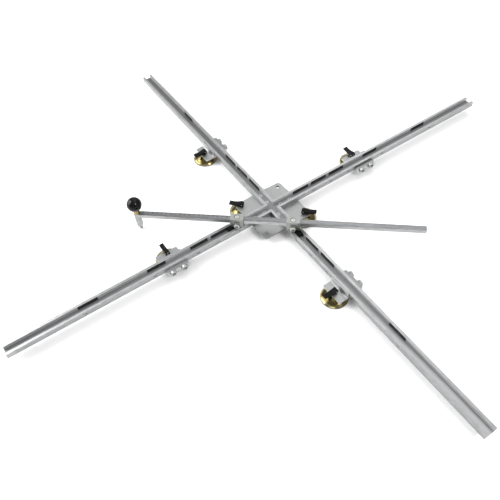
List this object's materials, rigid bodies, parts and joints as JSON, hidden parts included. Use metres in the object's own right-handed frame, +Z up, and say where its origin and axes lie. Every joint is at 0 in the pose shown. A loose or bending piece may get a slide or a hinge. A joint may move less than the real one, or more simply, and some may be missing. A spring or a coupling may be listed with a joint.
{
  "type": "oval glass cutter",
  "caption": "Trammel for cutting ovals in glass: a bar with a ball-knobbed cutter runs on shoes in crossed grooved rails, held down by suction cups with cam levers.",
  "frame": {"origin": "crossing of the two rails' middle lines, on the glass plane under the suction pads", "axes": "+Z up from the glass, +X along one rail and +Y along the other, cutter towards -X +Y at rest"},
  "size_m": [1.2, 1.2, 0.0914],
  "materials": {
    "rail_aluminium": "satin, brushed along the rail",
    "grey_plate": "matt, rolled sheet",
    "bar_aluminium": "satin, brushed along the bar",
    "clamp_metal": "fine cast",
    "bracket_steel": "zinc plated, dull",
    "zinc_steel": "zinc plated, bright",
    "yellow_chromate": "yellow chromated, glossy",
    "brass": "turned",
    "holder_grey": "fine cast, light grey",
    "black_rubber": "matt",
    "black_plastic": "satin",
    "black_shoe": "matt",
    "black_strip": "matt",
    "black_gloss": "polished"
  },
  "bodies": {
    "cross": {"base_plate": "grey_plate", "arm_screws": "zinc_steel", "marker_strips": "black_strip", "arm_xp": "rail_aluminium", "arm_xm": "rail_aluminium", "arm_yp": "rail_aluminium", "arm_ym": "rail_aluminium", "dome_left": "yellow_chromate", "pad_left": "black_rubber", "dome_right": "yellow_chromate", "pad_right": "black_rubber"},
    "stem_left": {"stem_left": "zinc_steel"},
    "lever_left": {"lever_left": "black_plastic"},
    "stem_right": {"stem_right": "zinc_steel"},
    "lever_right": {"lever_right": "black_plastic"},
    "carrier_xp": {"bracket_xp": "bracket_steel", "jaw_xp": "bracket_steel", "jaw_bolts_xp": "zinc_steel", "dome_xp": "yellow_chromate", "pad_xp": "black_rubber"},
    "stem_xp": {"stem_xp": "zinc_steel"},
    "lever_xp": {"lever_xp": "black_plastic"},
    "carrier_xm": {"bracket_xm": "bracket_steel", "jaw_xm": "bracket_steel", "jaw_bolts_xm": "zinc_steel", "dome_xm": "yellow_chromate", "pad_xm": "black_rubber"},
    "stem_xm": {"stem_xm": "zinc_steel"},
    "lever_xm": {"lever_xm": "black_plastic"},
    "carrier_yp": {"bracket_yp": "bracket_steel", "jaw_yp": "bracket_steel", "jaw_bolts_yp": "zinc_steel", "dome_yp": "yellow_chromate", "pad_yp": "black_rubber"},
    "stem_yp": {"stem_yp": "zinc_steel"},
    "lever_yp": {"lever_yp": "black_plastic"},
    "carrier_ym": {"bracket_ym": "bracket_steel", "jaw_ym": "bracket_steel", "jaw_bolts_ym": "zinc_steel", "dome_ym": "yellow_chromate", "pad_ym": "black_rubber"},
    "stem_ym": {"stem_ym": "zinc_steel"},
    "lever_ym": {"lever_ym": "black_plastic"},
    "shoe_a": {"shoe_a": "black_shoe", "stud_a": "zinc_steel"},
    "clamp_a": {"clamp_a": "clamp_metal", "clamp_a_screws": "zinc_steel"},
    "bar": {"bar": "bar_aluminium", "cutter_holder": "holder_grey", "ferrule": "brass", "knob": "black_gloss"},
    "clamp_b": {"clamp_b": "clamp_metal", "clamp_b_screws": "zinc_steel"},
    "shoe_b": {"shoe_b": "black_shoe", "stud_b": "zinc_steel"},
    "cutting_head": {"cutting_head": "zinc_steel", "wheel_axle": "zinc_steel"},
    "cutting_wheel": {"cutting_wheel": "zinc_steel"}
  },
  "joints": [
    {"name": "carrier_xp_slide", "type": "slide", "parent": "cross", "child": "carrier_xp", "axis": [1, 0, 0], "range_m": [-0.02, 0.29]},
    {"name": "stem_xp_lift", "type": "slide", "parent": "carrier_xp", "child": "stem_xp", "axis": [0, 0, 1], "range_m": [-0.0012, 0]},
    {"name": "lever_xp_tip", "type": "hinge", "parent": "stem_xp", "child": "lever_xp", "pos_m": [0.246, 0.026, 0.0231], "axis": [1, 0, 0], "range_deg": [0, 75]},
    {"name": "carrier_xm_slide", "type": "slide", "parent": "cross", "child": "carrier_xm", "axis": [-1, 0, 0], "range_m": [-0.02, 0.29]},
    {"name": "stem_xm_lift", "type": "slide", "parent": "carrier_xm", "child": "stem_xm", "axis": [0, 0, 1], "range_m": [-0.0012, 0]},
    {"name": "lever_xm_tip", "type": "hinge", "parent": "stem_xm", "child": "lever_xm", "pos_m": [-0.246, 0.026, 0.0231], "axis": [1, 0, 0], "range_deg": [0, 75]},
    {"name": "carrier_yp_slide", "type": "slide", "parent": "cross", "child": "carrier_yp", "axis": [0, 1, 0], "range_m": [-0.02, 0.29]},
    {"name": "stem_yp_lift", "type": "slide", "parent": "carrier_yp", "child": "stem_yp", "axis": [0, 0, 1], "range_m": [-0.0012, 0]},
    {"name": "lever_yp_tip", "type": "hinge", "parent": "stem_yp", "child": "lever_yp", "pos_m": [-0.026, 0.246, 0.0231], "axis": [0, 1, 0], "range_deg": [0, 75]},
    {"name": "carrier_ym_slide", "type": "slide", "parent": "cross", "child": "carrier_ym", "axis": [0, -1, 0], "range_m": [-0.02, 0.29]},
    {"name": "stem_ym_lift", "type": "slide", "parent": "carrier_ym", "child": "stem_ym", "axis": [0, 0, 1], "range_m": [-0.0012, 0]},
    {"name": "lever_ym_tip", "type": "hinge", "parent": "stem_ym", "child": "lever_ym", "pos_m": [-0.026, -0.246, 0.0231], "axis": [0, 1, 0], "range_deg": [0, 75]},
    {"name": "stem_left_lift", "type": "slide", "parent": "cross", "child": "stem_left", "axis": [0, 0, 1], "range_m": [-0.0012, 0]},
    {"name": "lever_left_tip", "type": "hinge", "parent": "stem_left", "child": "lever_left", "pos_m": [-0.048, 0.048, 0.0241], "axis": [0.7071, 0.7071, 0], "range_deg": [0, 75]},
    {"name": "stem_right_lift", "type": "slide", "parent": "cross", "child": "stem_right", "axis": [0, 0, 1], "range_m": [-0.0012, 0]},
    {"name": "lever_right_tip", "type": "hinge", "parent": "stem_right", "child": "lever_right", "pos_m": [0.048, -0.048, 0.0241], "axis": [-0.7071, -0.7071, 0], "range_deg": [0, 75]},
    {"name": "shoe_a_slide", "type": "slide", "parent": "cross", "child": "shoe_a", "axis": [1, 0, 0], "range_m": [-0.0162, 0.0162]},
    {"name": "bar_turn", "type": "hinge", "parent": "shoe_a", "child": "clamp_a", "pos_m": [-0.08897, 0, 0.035], "axis": [0, 0, 1], "range_deg": [-12, 12]},
    {"name": "bar_shift", "type": "slide", "parent": "clamp_a", "child": "bar", "axis": [-0.7604, 0.6494, 0], "range_m": [-0.05, 0.15]},
    {"name": "clamp_b_slide", "type": "slide", "parent": "bar", "child": "clamp_b", "axis": [-0.7604, 0.6494, 0], "range_m": [-0.15, 0.05]},
    {"name": "shoe_b_slide", "type": "slide", "parent": "cross", "child": "shoe_b", "axis": [0, 1, 0], "range_m": [-0.019, 0.019]},
    {"name": "cutter_swivel", "type": "hinge", "parent": "bar", "child": "cutting_head", "pos_m": [-0.25322, 0.14028, 0.012], "axis": [0, 0, 1], "range_deg": [-30, 30]},
    {"name": "wheel_spin", "type": "hinge", "parent": "cutting_head", "child": "cutting_wheel", "pos_m": [-0.25322, 0.14028, 0.0027], "axis": [0.7604, -0.6494, 0], "continuous": true}
  ],
  "couplings": [
    {"joint": "stem_xp_lift", "follows": "lever_xp_tip", "m_per_rad": -0.0009078},
    {"joint": "stem_xm_lift", "follows": "lever_xm_tip", "m_per_rad": -0.0009078},
    {"joint": "stem_yp_lift", "follows": "lever_yp_tip", "m_per_rad": -0.0009078},
    {"joint": "stem_ym_lift", "follows": "lever_ym_tip", "m_per_rad": -0.0009078},
    {"joint": "stem_left_lift", "follows": "lever_left_tip", "m_per_rad": -0.0009078},
    {"joint": "stem_right_lift", "follows": "lever_right_tip", "m_per_rad": -0.0009078},
    {"joint": "shoe_a_slide", "follows": "bar_turn", "m_per_rad": -0.075985},
    {"joint": "shoe_b_slide", "follows": "bar_turn", "m_per_rad": 0.088968},
    {"joint": "clamp_b_slide", "follows": "bar_shift", "ratio": -1}
  ]
}
